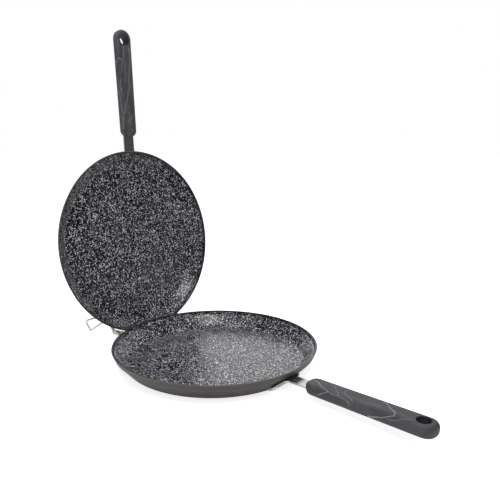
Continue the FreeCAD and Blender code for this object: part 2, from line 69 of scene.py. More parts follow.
# Veins of each grip's marbling in millimetres: along the grip from the pan's middle, and across
# its skin from the middle of the mating face. Each has a half width and a strength.
VEINS = {
    "lower": (
        (((158, 2.4), (166, -0.8), (176, -7), (185, -11.5), (182, -14), (174, -20)), 0.75, 0.8),
        (((185, -11.5), (192, -13), (198, -12.2), (208, -13.6), (212, -16), (213, -19)), 0.7, 0.6),
        (((177, 6.6), (185, 2), (196, -7.3), (198, -12.2)), 0.9, 0.35),
        (((199, 4), (199, -1.5), (204, -5), (213, -9.6), (216, -13)), 0.6, 0.65),
        (((240, 6.4), (247, 3.7), (255, -1.6), (261, -6), (262.5, -11), (258, -14.3)), 0.7, 0.9),
        (((258, -14.3), (252, -17.7), (243, -20.8), (234, -22)), 0.8, 0.75),
        (((256, -17.7), (262, -17.3), (268, -14.5), (272, -10.5), (279, -8.3)), 0.9, 0.3),
        (((170, 22), (190, 15), (214, 18), (231, 11), (246, 14)), 0.6, 0.6),
        (((262, 10), (270, 17), (284, 19)), 0.6, 0.5),
    ),
    "upper": (
        (((253, -18.6), (257, -17.7), (260, -14.6), (261, -12), (258.4, -8.5)), 0.7, 0.8),
        (((215, -21), (213.5, -18.4)), 0.9, 0.6),
        (((182, 3), (177, 1.4), (172.5, -2.5)), 0.8, 0.5),
        (((163.4, 3.8), (159.4, 1.8)), 0.8, 0.5),
        (((231, -12), (221.5, -14), (215, -12)), 1.8, 0.35),
        (((277, -2.5), (265.6, -3.9), (254, -7), (241, -8.4)), 1.5, 0.25),
        (((277, 6.7), (258, 6), (238, 3.3), (220, 1.7), (197, -5), (184, -8.5)), 1.8, 0.3),
        (((212, -16.4), (196.6, -14.2), (184, -11.8), (163, -14)), 1.8, 0.25),
        (((255, -1), (242, -3.3), (227, -3.6)), 1.4, 0.2),
        (((165, 20), (186, 13), (203, 17), (230, 12), (252, 18)), 0.6, 0.6),
    ),
}


def linear(hex_colour):
    """An sRGB hex colour as linear red, green and blue."""
    parts = [int(hex_colour[i : i + 2], 16) / 255 for i in (1, 3, 5)]
    return tuple(c / 12.92 if c <= 0.04045 else ((c + 0.055) / 1.055) ** 2.4 for c in parts)


def colour(label, text, hex_colour):
    return FloatVectorProperty(
        name=label,
        description=text,
        subtype="COLOR",
        size=3,
        min=0,
        max=1,
        default=linear(hex_colour),
    )


def length(label, text, millimetres):
    return FloatProperty(
        name=label, description=text, default=millimetres * MM, min=0, unit="LENGTH"
    )


def power(label, text, watts):
    return FloatProperty(name=label, description=text, default=watts, min=0, unit="POWER")


class FlipPanShape(bpy.types.PropertyGroup):
    """Sizes of one pan's turned profile, as the construction has them."""

    rim_radius: length("Rim radius", "Outer radius of the rim", 131.0)
    rim_height: length("Rim height", "Height of the rim above the table", 23.7)
    rim_width: length("Rim width", "Width of the flat rim", 2.6)
    rim_round: length("Rim rounding", "Radius of the rim's two edges", 0.6)
    band_height: length("Band height", "Height of the band under the rim", 7.4)
    band_taper: length("Band taper", "How far the band draws in towards its foot", 3.4)
    band_step: length("Band step", "Width of the step under the band", 1.0)
    step_drop: length("Step drop", "Height of that step", 0.6)
    wall_spread: length("Wall spread", "How far the wall draws in to the base", 13.4)
    base_round: length("Base rounding", "Radius where the wall meets the base", 3.0)
    wall: length("Wall thickness", "Thickness of the cast wall", 3.4)
    lip_depth: length("Lip depth", "Depth of the upright lip inside the rim", 4.5)
    base_level: length("Base level", "Height of the cast base above the table", 0.8)
    floor_thick: length("Floor thickness", "Thickness of the cooking floor", 3.2)
    floor_round: length("Floor rounding", "Radius between floor and inner wall", 9.0)
    edge_round: length("Edge rounding", "Radius of the small cast edges", 0.35)
    disc_radius: length("Disc radius", "Radius of the steel disc under the base", 98.0)
    disc_margin: length("Disc margin", "From the outermost ring to the disc's edge", 9.0)
    disc_grooves: IntProperty(name="Rings", description="Rings in the disc", default=5, min=1)
    groove_width: length("Ring width", "Width of one ring", 1.6)
    groove_depth: length("Ring depth", "Depth of one ring", 0.35)
    around: IntProperty(
        name="Steps round", description="Divisions round the pan", default=384, min=24
    )


class FlipPanFinish(bpy.types.PropertyGroup):
    """Colours of the flip pan's finishes."""

    coat_base: colour("Non-stick", "Ground colour of the non-stick coating", "#0e0f12")
    fleck_pale: colour("Pale flecks", "Colour of the palest flecks", "#f0f0fa")
    fleck_grey: colour("Grey flecks", "Colour of the greyer flecks", "#b0b2c2")
    outside: colour("Outside", "Colour of the sprayed outside", "#413c3b")
    # The outside's edge colour is a painted highlight along the band's foot and the rim's outer
    # edge
    outside_worn: colour("Outside edges", "Colour where the spray is thin", "#716e6b")
    steel: colour("Polished steel", "Colour of the stamped and polished steel", "#bcbcb8")
    steel_dark: colour("Steel scratches", "Colour down in the steel's marks", "#a2a29f")
    wire: colour("Drawn wire", "Colour of the bright drawn wire", "#f6f6f1")
    turned: colour("Turned steel", "Colour of the base disc", "#b9b9b6")
    zinc: colour("Zinc plate", "Colour of screws and nuts", "#b4b8bb")
    grip: colour("Grip", "Ground colour of the soft-touch grips", "#343236")
    grip_cloud: colour("Grip clouds", "Paler clouds in the marbling", "#4b494f")
    grip_vein: colour("Grip veins", "Colour of the thin veins", "#9b9aa3")
    # The core colour is the bare black moulding, and its darkness also paints the shade inside the
    # hanging hole
    grip_core: colour("Grip core", "Colour of the moulding in the hanging hole", "#262427")


class FlipPanStage(bpy.types.PropertyGroup):
    """Floor, lamps and camera."""

    floor: colour("Floor", "Colour of the pale floor", "#f4f4f4")
    key: power("Key lamp", "Power of the lamp above the handles", 8.5)
    top: power("Top lamp", "Power of the lamp above the lower pan", 8.5)
    fill: power("Fill lamp", "Power of the weak lamp in front", 1.2)
    back: power("Back lamp", "Power of the lamp behind", 9)
    sky: FloatProperty(
        name="Sky", description="Strength of the soft light from all round", default=0.5, min=0
    )
    lens: FloatProperty(
        name="Lens", description="Focal length on a 36 mm sensor", default=39.551, unit="CAMERA"
    )


def add_node(tree, kind, settings=None, inputs=None):
    """Adds one node, sets its settings, and gives each input a value or a link."""
    node = tree.nodes.new(kind)
    for name, value in (settings or {}).items():
        setattr(node, name, value)
    for key, value in (inputs or {}).items():
        if isinstance(value, bpy.types.Node):
            value = value.outputs[0]
        if isinstance(value, bpy.types.NodeSocket):
            tree.links.new(value, node.inputs[key])
        elif isinstance(value, (tuple, list)) and len(node.inputs[key].default_value) == 4:
            node.inputs[key].default_value = tuple(value)[:3] + (1,)
        else:
            node.inputs[key].default_value = value
    return node


def new_material(name):
    """An empty material with its output node, and its node tree."""
    material = bpy.data.materials.new(name)
    material.use_nodes = True
    material.node_tree.nodes.clear()
    output = add_node(material.node_tree, "ShaderNodeOutputMaterial")
    return material, material.node_tree, output


def pan_coordinates(tree, half):
    """Object coordinates in the lower half's own frame: a Mapping node mirrors the upper half's
    and turns them back about the hinge, so that a pattern lies the same way on both halves."""
    source = add_node(tree, "ShaderNodeTexCoord").outputs["Object"]
    if half != "upper":
        return source
    flip = Matrix.Diagonal((1, 1, -1))
    back = OPEN_TURN.transposed()
    shift = flip @ (HINGE_POINT - back @ HINGE_POINT) + Vector((0, 0, 2 * MIRROR_Z))
    return add_node(
        tree,
        "ShaderNodeMapping",
        inputs={
            "Vector": source,
            "Location": tuple(shift),
            "Rotation": tuple((flip @ back @ flip).to_euler("XYZ")),
            "Scale": (1, 1, -1),
        },
    ).outputs[0]


def finish_values(item):
    return [tuple(getattr(bpy.context.scene.flip_pan_finish, name)) for name in item.split()]


def speckled_non_stick(half):
    """Sprayed PTFE non-stick: a near black satin film with two sizes of pale spatter. The eye
    sees crisp grey and white flecks on black, and a soft sheen at low angles."""
    base, pale, grey = finish_values("coat_base fleck_pale fleck_grey")
    material, tree, output = new_material("speckled_ptfe_non_stick_" + half)
    place = pan_coordinates(tree, half)
    # Flecks aren't round: places are pushed about by up to a third of a millimetre
    wobble = add_node(
        tree,
        "ShaderNodeTexNoise",
        inputs={"Vector": place, "Scale": 1 / (0.9 * MM), "Detail": 1.0},
    )
    push = add_node(
        tree,
        "ShaderNodeVectorMath",
        {"operation": "MULTIPLY_ADD"},
        {0: wobble.outputs["Color"], 1: (0.7 * MM,) * 3, 2: place},
    )
    density = add_node(
        tree, "ShaderNodeTexNoise", inputs={"Vector": place, "Scale": 1 / (26 * MM)}
    )
    tones = []
    # Drops of spatter lie one to a cell: their spacing in mm, the spread of their radii as a
    # share of the spacing, and the share of the cells that stay empty
    for spacing, size_spread, empty in ((1.45, 0.46, 0.66), (1.05, 0.44, 0.68)):
        cells = add_node(
            tree,
            "ShaderNodeTexVoronoi",
            inputs={"Vector": push, "Scale": 1 / (spacing * MM)},
        )
        split = add_node(tree, "ShaderNodeSeparateColor", inputs={0: cells.outputs["Color"]})
        size = add_node(
            tree,
            "ShaderNodeMath",
            {"operation": "MULTIPLY_ADD"},
            {0: split.outputs[0], 1: size_spread, 2: 0.2},
        )
        inside = add_node(
            tree,
            "ShaderNodeMath",
            {"operation": "SUBTRACT"},
            {0: size, 1: cells.outputs["Distance"]},
        )
        drop = add_node(
            tree,
            "ShaderNodeMapRange",
            {"interpolation_type": "SMOOTHSTEP"},
            {"Value": inside, "From Min": 0.0, "From Max": 0.1},
        )
        filled = add_node(
            tree,
            "ShaderNodeMapRange",
            inputs={"Value": split.outputs[1], "From Min": empty, "From Max": 0.8},
        )
        bright = add_node(
            tree, "ShaderNodeMath", {"operation": "MULTIPLY"}, {0: drop, 1: filled}
        )
        tones.append(bright.outputs[0])
    total = add_node(tree, "ShaderNodeMath", {"operation": "MAXIMUM"}, dict(enumerate(tones)))
    cloud = add_node(
        tree,
        "ShaderNodeMapRange",
        inputs={
            "Value": density,
            "From Min": 0.3,
            "From Max": 0.7,
            "To Min": 0.88,
            "To Max": 1.15,
        },
    )
    # Fewer flecks on the narrow rim's inner edge and the upright lip under it: painted shade,
    # which keeps the lip dark
    bare_painted_shade = add_node(tree, "ShaderNodeAttribute", {"attribute_name": "edge"})
    lip_shade_fleck_share = add_node(
        tree,
        "ShaderNodeMapRange",
        inputs={"Value": bare_painted_shade.outputs["Fac"], "To Min": 1.0, "To Max": 0.12},
    )
    held = add_node(tree, "ShaderNodeMath", {"operation": "MULTIPLY"}, {0: cloud, 1: lip_shade_fleck_share})
    amount = add_node(
        tree, "ShaderNodeMath", {"operation": "MULTIPLY", "use_clamp": True}, {0: total, 1: held}
    )
    fleck = add_node(
        tree, "ShaderNodeMix", {"data_type": "RGBA"}, {0: amount, 6: grey, 7: pale}
    )
    skin = add_node(
        tree, "ShaderNodeMix", {"data_type": "RGBA"}, {0: amount, 6: base, 7: fleck.outputs[2]}
    )
    rough = add_node(
        tree,
        "ShaderNodeMapRange",
        inputs={
            "Value": density,
            "From Min": 0.3,
            "From Max": 0.7,
            "To Min": 0.25,
            "To Max": 0.31,
        },
    )
    grain = add_node(
        tree, "ShaderNodeTexNoise", inputs={"Vector": place, "Scale": 1 / (0.9 * MM)}
    )
    relief = add_node(
        tree, "ShaderNodeMath", {"operation": "MULTIPLY_ADD"}, {0: amount, 1: 0.4, 2: grain}
    )
    bump = add_node(
        tree, "ShaderNodeBump", inputs={"Strength": 0.25, "Distance": 0.05 * MM, "Height": relief}
    )
    shader = add_node(
        tree,
        "ShaderNodeBsdfPrincipled",
        inputs={
            "Base Color": skin.outputs[2],
            "Roughness": rough,
            "IOR": 1.35,
            "Normal": bump,
        },
    )
    tree.links.new(shader.outputs[0], output.inputs[0])
    return material


def sprayed_outside(half):
    """Heat resistant silicone polyester spray on cast aluminium: warm dark grey and nearly
    matte, with a fine tooth. A painted highlight makes it paler along the band's foot and the
    rim's outer edge."""
    body, edge_highlight = finish_values("outside outside_worn")
    material, tree, output = new_material("sprayed_silicone_polyester_" + half)
    place = pan_coordinates(tree, half)
    # Outside, the edge attribute marks where the painted highlight lies: the band's foot and the
    # rim's outer edge
    edge = add_node(tree, "ShaderNodeAttribute", {"attribute_name": "edge"})
    # The spray's tooth is about 0.15 mm, drawn at 0.5 mm so that it shows
    tooth = add_node(
        tree, "ShaderNodeTexNoise", inputs={"Vector": place, "Scale": 1 / (0.5 * MM)}
    )
    drift = add_node(
        tree, "ShaderNodeTexNoise", inputs={"Vector": place, "Scale": 1 / (45 * MM)}
    )
    lift = add_node(
        tree,
        "ShaderNodeMapRange",
        inputs={
            "Value": tooth,
            "From Min": 0.25,
            "From Max": 0.75,
            "To Min": 0.88,
            "To Max": 1.12,
        },
    )
    wide = add_node(
        tree,
        "ShaderNodeMapRange",
        inputs={
            "Value": drift,
            "From Min": 0.3,
            "From Max": 0.7,
            "To Min": 0.93,
            "To Max": 1.07,
        },
    )
    tone = add_node(tree, "ShaderNodeMath", {"operation": "MULTIPLY"}, {0: lift, 1: wide})
    mixed = add_node(
        tree, "ShaderNodeMix", {"data_type": "RGBA"}, {0: edge.outputs["Fac"], 6: body, 7: edge_highlight}
    )
    skin = add_node(
        tree,
        "ShaderNodeVectorMath",
        {"operation": "SCALE"},
        {0: mixed.outputs[2], "Scale": tone},
    )
    rough = add_node(
        tree,
        "ShaderNodeMapRange",
        inputs={
            "Value": tooth,
            "From Min": 0.25,
            "From Max": 0.75,
            "To Min": 0.46,
            "To Max": 0.58,
        },
    )
    bump = add_node(
        tree, "ShaderNodeBump", inputs={"Strength": 0.3, "Distance": 0.04 * MM, "Height": tooth}
    )
    shader = add_node(
        tree,
        "ShaderNodeBsdfPrincipled",
        inputs={"Base Color": skin, "Roughness": rough, "IOR": 1.47, "Normal": bump},
    )
    tree.links.new(shader.outputs[0], output.inputs[0])
    return material


def metal(name, tones, stretch, mark_mm, roughness, relief_mm, half):
    """A metal whose marks are noise drawn out along one way: roughness, tone and a faint bump
    follow the same marks, as a polishing belt or a drawing die leaves them."""
    bright, dark = finish_values(tones)
    material, tree, output = new_material(name + "_" + half)
    place = pan_coordinates(tree, half)
    marks = add_node(
        tree,
        "ShaderNodeTexNoise",
        inputs={
            "Vector": add_node(
                tree, "ShaderNodeVectorMath", {"operation": "MULTIPLY"}, {0: place, 1: stretch}
            ),
            "Scale": 1 / (mark_mm * MM),
            "Detail": 3.0,
        },
    )
    smudge = add_node(
        tree, "ShaderNodeTexNoise", inputs={"Vector": place, "Scale": 1 / (9 * MM)}
    )
    blend = add_node(
        tree, "ShaderNodeMath", {"operation": "MULTIPLY_ADD"}, {0: smudge, 1: 0.5, 2: marks}
    )
    share = add_node(
        tree,
        "ShaderNodeMapRange",
        inputs={"Value": blend, "From Min": 0.5, "From Max": 1.0},
    )
    skin = add_node(tree, "ShaderNodeMix", {"data_type": "RGBA"}, {0: share, 6: bright, 7: dark})
    rough = add_node(
        tree,
        "ShaderNodeMapRange",
        inputs={"Value": share, "To Min": roughness[0], "To Max": roughness[1]},
    )
    bump = add_node(
        tree,
        "ShaderNodeBump",
        inputs={"Strength": 0.1, "Distance": relief_mm * MM, "Height": marks},
    )
    shader = add_node(
        tree,
        "ShaderNodeBsdfPrincipled",
        inputs={
            "Base Color": skin.outputs[2],
            "Metallic": 1.0,
            "Roughness": rough,
            "Normal": bump,
        },
    )
    tree.links.new(shader.outputs[0], output.inputs[0])
    return material


def polished_steel(half):
    """Stamped stainless steel, belt polished along the strap: bright, with soft reflections
    and faint marks running lengthwise."""
    return metal(
        name="polished_stainless_steel",
        tones="steel steel_dark",
        stretch=(0.12, 1, 1),
        mark_mm=1.2,
        roughness=(0.24, 0.32),
        relief_mm=0.002,
        half=half,
    )


def drawn_wire(half):
    """Bright drawn steel wire: pale, with broad soft highlights and almost no texture."""
    return metal(
        name="bright_drawn_steel_wire",
        tones="wire steel_dark",
        stretch=(0.3, 1, 1),
        mark_mm=0.8,
        roughness=(0.45, 0.55),
        relief_mm=0.002,
        half=half,
    )


def zinc_plate(half):
    """Zinc plated steel, tumbled: cool grey, slightly dull, with cloudy marks."""
    return metal(
        name="zinc_plated_steel",
        tones="zinc steel_dark",
        stretch=(1, 1, 1),
        mark_mm=1.5,
        roughness=(0.3, 0.45),
        relief_mm=0.01,
        half=half,
    )


def flattened(tree, place):
    """A place with its height set to nought."""
    return add_node(
        tree, "ShaderNodeVectorMath", {"operation": "MULTIPLY"}, {0: place, 1: (1, 1, 0)}
    )


def turned_steel(half):
    """Stainless disc faced on a lathe: fine rings round the middle catch the light as two
    soft bands that run out to the edge."""
    bright, dark = finish_values("turned steel_dark")
    material, tree, output = new_material("lathe_turned_stainless_" + half)
    place = pan_coordinates(tree, half)
    reach = add_node(
        tree, "ShaderNodeVectorMath", {"operation": "LENGTH"}, {0: flattened(tree, place)}
    )
    # Tool marks are about 0.1 mm apart, drawn at 0.6 mm so that they show
    along = add_node(tree, "ShaderNodeCombineXYZ", inputs={0: reach.outputs["Value"]})
    rings = add_node(
        tree,
        "ShaderNodeTexNoise",
        inputs={"Vector": along, "Scale": 1 / (0.6 * MM), "Detail": 3.0},
    )
    share = add_node(
        tree,
        "ShaderNodeMapRange",
        inputs={"Value": rings, "From Min": 0.3, "From Max": 0.7},
    )
    skin = add_node(tree, "ShaderNodeMix", {"data_type": "RGBA"}, {0: share, 6: bright, 7: dark})
    rough = add_node(
        tree, "ShaderNodeMapRange", inputs={"Value": share, "To Min": 0.24, "To Max": 0.38}
    )
    bump = add_node(
        tree,
        "ShaderNodeBump",
        inputs={"Strength": 0.35, "Distance": 0.03 * MM, "Height": rings},
    )
    shader = add_node(
        tree,
        "ShaderNodeBsdfPrincipled",
        inputs={
            "Base Color": skin.outputs[2],
            "Metallic": 1.0,
            "Roughness": rough,
            "Normal": bump,
        },
    )
    tree.links.new(shader.outputs[0], output.inputs[0])
    return material


def unrolled(tree, place, wander):
    """The grip's skin laid flat, in millimetres: x runs along the grip, and y runs across the
    mating face and on down each side. A little noise makes the lines wander. The mating face
    rises by GRIP_FACE_TILT towards the tip."""
    push = add_node(
        tree,
        "ShaderNodeVectorMath",
        {"operation": "MULTIPLY_ADD"},
        {0: wander.outputs["Color"], 1: (3.0, 3.0, 0.0), 2: (-1.5, -1.5, 0.0)},
    )
    scaled = add_node(
        tree, "ShaderNodeVectorMath", {"operation": "SCALE"}, {0: place, "Scale": 1 / MM}
    )
    parts = add_node(tree, "ShaderNodeSeparateXYZ", inputs={0: scaled})
    face = add_node(
        tree,
        "ShaderNodeMath",
        {"operation": "MULTIPLY_ADD"},
        {0: parts.outputs[0], 1: math.tan(GRIP_FACE_TILT), 2: GRIP_FACE_START},
    )
    below = add_node(
        tree, "ShaderNodeMath", {"operation": "SUBTRACT"}, {0: face, 1: parts.outputs[2]}
    )
    side = add_node(tree, "ShaderNodeMath", {"operation": "SIGN"}, {0: parts.outputs[1]})
    across = add_node(
        tree,
        "ShaderNodeMath",
        {"operation": "MULTIPLY_ADD"},
        {0: below, 1: side, 2: parts.outputs[1]},
    )
    flat = add_node(tree, "ShaderNodeCombineXYZ", inputs={0: parts.outputs[0], 1: across, 2: 0.0})
    return add_node(tree, "ShaderNodeVectorMath", {"operation": "ADD"}, {0: flat, 1: push})


def distance_to(tree, laid, points):
    """Distance from each place to a line of straight runs: for each run, the place's share of
    the way along it is kept between 0 and 1, and the nearest run counts."""
    nearest = None
    for (ax, ay), (bx, by) in zip(points, points[1:]):
        run = Vector((bx - ax, by - ay, 0))
        rel = add_node(
            tree, "ShaderNodeVectorMath", {"operation": "SUBTRACT"}, {0: laid, 1: (ax, ay, 0)}
        )
        dot = add_node(
            tree,
            "ShaderNodeVectorMath",
            {"operation": "DOT_PRODUCT"},
            {0: rel, 1: tuple(run / run.length_squared)},
        )
        share = add_node(
            tree,
            "ShaderNodeMath",
            {"operation": "ADD", "use_clamp": True},
            {0: dot.outputs["Value"], 1: 0.0},
        )
        foot = add_node(
            tree, "ShaderNodeVectorMath", {"operation": "SCALE"}, {0: tuple(run), "Scale": share}
        )
        gap = add_node(
            tree, "ShaderNodeVectorMath", {"operation": "DISTANCE"}, {0: rel, 1: foot}
        ).outputs["Value"]
        if nearest is None:
            nearest = gap
        else:
            nearest = add_node(
                tree, "ShaderNodeMath", {"operation": "MINIMUM"}, {0: nearest, 1: gap}
            ).outputs[0]
    return nearest


def marbled_grip(half):
    """Moulded phenolic grip with a water transfer marble print under a soft-touch lacquer:
    dark warm grey clouds drawn out along the grip, crossed by thin pale veins."""
    ground, cloud_tone, vein_tone, core_and_hole_shade = finish_values("grip grip_cloud grip_vein grip_core")
    material, tree, output = new_material("marbled_soft_touch_grip_" + half)
    place = pan_coordinates(tree, half)
    # Each grip shows another part of the print
    drift = (0.0, 0.0, 0.0) if half == "lower" else (0.31, 0.07, 0.05)
    moved = add_node(
        tree, "ShaderNodeVectorMath", {"operation": "ADD"}, {0: place, 1: drift}
    )
    bend = add_node(
        tree, "ShaderNodeTexNoise", inputs={"Vector": moved, "Scale": 1 / (30 * MM)}
    )
    bent = add_node(
        tree,
        "ShaderNodeVectorMath",
        {"operation": "MULTIPLY_ADD"},
        {0: bend.outputs["Color"], 1: (18 * MM,) * 3, 2: moved},
    )
    # Clouds are drawn out four times along the grip
    drawn = add_node(
        tree, "ShaderNodeVectorMath", {"operation": "MULTIPLY"}, {0: bent, 1: (0.25, 1, 1)}
    )
    clouds = add_node(
        tree, "ShaderNodeTexNoise", inputs={"Vector": drawn, "Scale": 1 / (9 * MM), "Detail": 4.0}
    )
    cloud = add_node(
        tree,
        "ShaderNodeMapRange",
        {"interpolation_type": "SMOOTHSTEP"},
        {"Value": clouds, "From Min": 0.35, "From Max": 0.72},
    )
    base = add_node(
        tree, "ShaderNodeMix", {"data_type": "RGBA"}, {0: cloud, 6: ground, 7: cloud_tone}
    )
    wander = add_node(
        tree, "ShaderNodeTexNoise", inputs={"Vector": moved, "Scale": 1 / (7 * MM)}
    )
    laid = unrolled(tree, place, wander)
    tone = base.outputs[2]
    for points, width, strength in VEINS[half]:
        gap = distance_to(tree, laid, points)
        line = add_node(
            tree,
            "ShaderNodeMapRange",
            {"interpolation_type": "SMOOTHSTEP"},
            {"Value": gap, "From Min": 0.0, "From Max": width, "To Min": strength, "To Max": 0.0},
        )
        tone = add_node(
            tree, "ShaderNodeMix", {"data_type": "RGBA"}, {0: line, 6: tone, 7: vein_tone}
        ).outputs[2]
    from_hole = add_node(
        tree,
        "ShaderNodeVectorMath",
        {"operation": "DISTANCE"},
        {0: flattened(tree, place), 1: tuple(HANG_HOLE)},
    )
    # The print stops at the hanging hole's edge, where the black moulding shows. Its dark colour
    # also paints the shade inside the hole
    bare_painted_shade = add_node(
        tree,
        "ShaderNodeMath",
        {"operation": "LESS_THAN"},
        {0: from_hole.outputs["Value"], 1: HANG_HOLE_RADIUS + 0.15 * MM},
    )
    skin = add_node(
        tree, "ShaderNodeMix", {"data_type": "RGBA"}, {0: bare_painted_shade, 6: tone, 7: core_and_hole_shade}
    )
    tooth = add_node(
        tree, "ShaderNodeTexNoise", inputs={"Vector": place, "Scale": 1 / (0.7 * MM)}
    )
    rough = add_node(
        tree, "ShaderNodeMapRange", inputs={"Value": clouds, "To Min": 0.58, "To Max": 0.7}
    )
    bump = add_node(
        tree, "ShaderNodeBump", inputs={"Strength": 0.2, "Distance": 0.03 * MM, "Height": tooth}
    )
    shader = add_node(
        tree,
        "ShaderNodeBsdfPrincipled",
        inputs={"Base Color": skin.outputs[2], "Roughness": rough, "IOR": 1.5, "Normal": bump},
    )
    tree.links.new(shader.outputs[0], output.inputs[0])
    return material


def rounded_profile(points, radii, arc_steps=8):
    """A profile with a tangent arc at each inner corner. Each straight gets extra points close
    to its ends, so that smooth shading stays inside the arcs. Returns the points and, for each
    of them, the number of the corner that it belongs to, or -1 on a straight."""
    points = np.asarray(points, float)
    out, owner, last = [], [], points[0]
    for i in range(1, len(points)):
        point = points[i]
        if i == len(points) - 1:
            start, arc = point, np.empty((0, 2))
        else:
            before = (points[i - 1] - point) / np.linalg.norm(points[i - 1] - point)
            after = (points[i + 1] - point) / np.linalg.norm(points[i + 1] - point)
            half = np.arccos(np.clip(before @ after, -1, 1)) / 2
            bisector = (before + after) / np.linalg.norm(before + after)
            centre = point + bisector * radii[i] / np.sin(half)
            start, end = (point + side * radii[i] / np.tan(half) for side in (before, after))
            a, b = start - centre, end - centre
            angle = np.arccos(np.clip(a @ b / (radii[i] ** 2), -1, 1))
            t = np.linspace(0, 1, arc_steps + 1)[:, None]
            arc = centre + (np.sin((1 - t) * angle) * a + np.sin(t * angle) * b) / np.sin(angle)
        run = np.linalg.norm(start - last)
        near = np.array([0.15 * MM, 0.6 * MM, 2 * MM]) / run
        inner = np.concatenate([near, np.linspace(0, 1, max(2, int(run / (8 * MM)) + 1))[1:-1]])
        inner = inner[inner < 0.5]
        shares = np.unique(np.round(np.concatenate([[0], inner, 1 - inner, [1]]), 9))
        straight = last + (start - last) * shares[:, None]
        keep = straight[1:-1] if len(arc) else straight[1:]
        if i == 1:
            keep = np.concatenate([straight[:1], keep])
        out += [keep, arc]
        owner += [np.full(len(keep), -1), np.full(len(arc), i)]
        last = arc[-1] if len(arc) else start
    return np.concatenate(out), np.concatenate(owner)


def revolved(name, profile, steps, half):
    """A closed turned surface. The place of the point (u, v) is the profile's radius at u,
    carried round the axis by the angle v, at the profile's height. The profile starts and ends
    on the axis, so each end is one point. For the upper half every place is mirrored about the
    plane between the rims and swung open, and its faces are wound the other way."""
    angle = np.linspace(0, 2 * math.pi, steps, endpoint=False)
    body = profile[1:-1]
    rings = np.stack(
        [
            body[:, :1] * np.cos(angle),
            body[:, :1] * np.sin(angle),
            np.repeat(body[:, 1:], steps, axis=1),
        ],
        axis=2,
    ).reshape(-1, 3)
    ends = np.array([[0, 0, profile[0, 1]], [0, 0, profile[-1, 1]]])
    places = np.concatenate([rings, ends])
    ring, column = np.meshgrid(np.arange(len(body) - 1), np.arange(steps), indexing="ij")
    beside = (column + 1) % steps
    quads = np.stack(
        [
            ring * steps + column,
            ring * steps + beside,
            (ring + 1) * steps + beside,
            (ring + 1) * steps + column,
        ],
        axis=2,
    ).reshape(-1, 4)
    first, last = len(rings), len(rings) + 1
    near = np.arange(steps)
    beside = (near + 1) % steps
    top = (len(body) - 1) * steps
    caps = np.concatenate(
        [
            np.stack([np.full(steps, first), beside, near], axis=1),
            np.stack([np.full(steps, last), top + near, top + beside], axis=1),
        ]
    )
    if half == "upper":
        places = opened(places)
        quads, caps = quads[:, ::-1], caps[:, ::-1]
    mesh = bpy.data.meshes.new(name)
    corners = np.concatenate([quads.ravel(), caps.ravel()])
    sizes = np.concatenate([np.full(len(quads), 4), np.full(len(caps), 3)])
    mesh.vertices.add(len(places))
    mesh.vertices.foreach_set("co", places.astype(np.float32).ravel())
    mesh.loops.add(len(corners))
    mesh.loops.foreach_set("vertex_index", corners.astype(np.int32))
    mesh.polygons.add(len(sizes))
    starts = np.concatenate([[0], np.cumsum(sizes)[:-1]])
    mesh.polygons.foreach_set("loop_start", starts.astype(np.int32))
    mesh.update(calc_edges=True)
    mesh.validate()
    mesh.polygons.foreach_set("use_smooth", np.full(len(mesh.polygons), True))
    piece = bpy.data.objects.new(name, mesh)
    bpy.context.scene.collection.objects.link(piece)
    return piece


def opened(places):
    """Places of the closed upper half's lower twin, mirrored and swung open about the hinge."""
    turned = places * [1, 1, -1] + [0, 0, 2 * MIRROR_Z] - np.array(HINGE_POINT)
    return turned @ np.array(OPEN_TURN).T + np.array(HINGE_POINT)


# Numbers of three corners in the pan's profile
BAND_FOOT, OUTER_RIM, INNER_RIM = 3, 4, 5


def pan_profile(shape):
    """Corners of the pan's profile in metres, each as radius and height, from the axis under
    the base, out and up the wall, over the rim, and down inside to the axis again."""
    top = shape.rim_height
    band_foot = shape.rim_radius - shape.band_taper
    wall_top = band_foot - shape.band_step
    wall_top_z = top - shape.band_height - shape.step_drop
    base_edge = wall_top - shape.wall_spread
    slope = (wall_top - base_edge) / (wall_top_z - shape.base_level)
    secant = math.hypot(1, slope)
    floor_z = shape.base_level + shape.floor_thick
    ledge_z = top - shape.lip_depth
    lip = shape.rim_radius - shape.rim_width
    lip_foot = lip - shape.band_taper * shape.lip_depth / shape.band_height

    def inner(z):
        return wall_top - (wall_top_z - z) * slope - shape.wall * secant

    corners = [
        (0, shape.base_level, 0),
        (base_edge, shape.base_level, shape.base_round),
        (wall_top, wall_top_z, shape.edge_round / 2),
        (band_foot, top - shape.band_height, shape.edge_round),
        (shape.rim_radius, top, shape.rim_round),
        (lip, top, shape.rim_round),
        (lip_foot, ledge_z, shape.edge_round),
        (inner(ledge_z), ledge_z, shape.edge_round),
        (inner(floor_z), floor_z, shape.floor_round),
        (0, floor_z, 0),
    ]
    return [c[:2] for c in corners], [c[2] for c in corners]


def find_nodes(names):
    missing = [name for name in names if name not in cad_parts]
    if missing:
        raise RuntimeError("the frame has no node named " + ", ".join(missing))
    return [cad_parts[name] for name in names]


def dress(names, material):
    """Gives CAD nodes one material each."""
    for node in find_nodes(names):
        node.data.materials.clear()
        node.data.materials.append(material)


